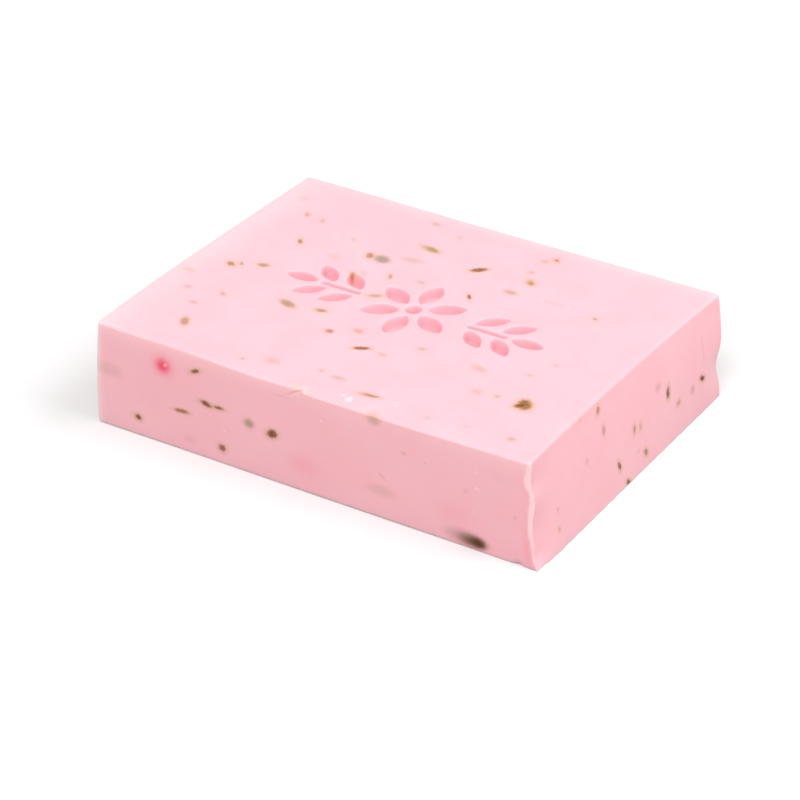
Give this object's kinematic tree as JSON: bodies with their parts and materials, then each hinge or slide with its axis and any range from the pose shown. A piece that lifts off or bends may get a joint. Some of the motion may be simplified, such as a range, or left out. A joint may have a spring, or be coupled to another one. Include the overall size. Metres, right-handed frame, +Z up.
{
  "type": "bar of soap",
  "caption": "Flat rectangular hand-cut bar of pink botanical soap with worn edges, leaning cut ends and a pressed flower and leaf ornament on top.",
  "frame": {"origin": "centre of the base of the bar's bounding box, on the surface that the bar lies on", "axes": "+X along the bar's length towards the askew cut end, +Y across the bar from its front side to its rear side, +Z up through the pressed top"},
  "size_m": [0.0857, 0.0636, 0.0194],
  "materials": {
    "soap": "satin, slightly translucent pink with plant flecks"
  },
  "bodies": {
    "root": {"soap_bar": "soap"}
  },
  "joints": []
}
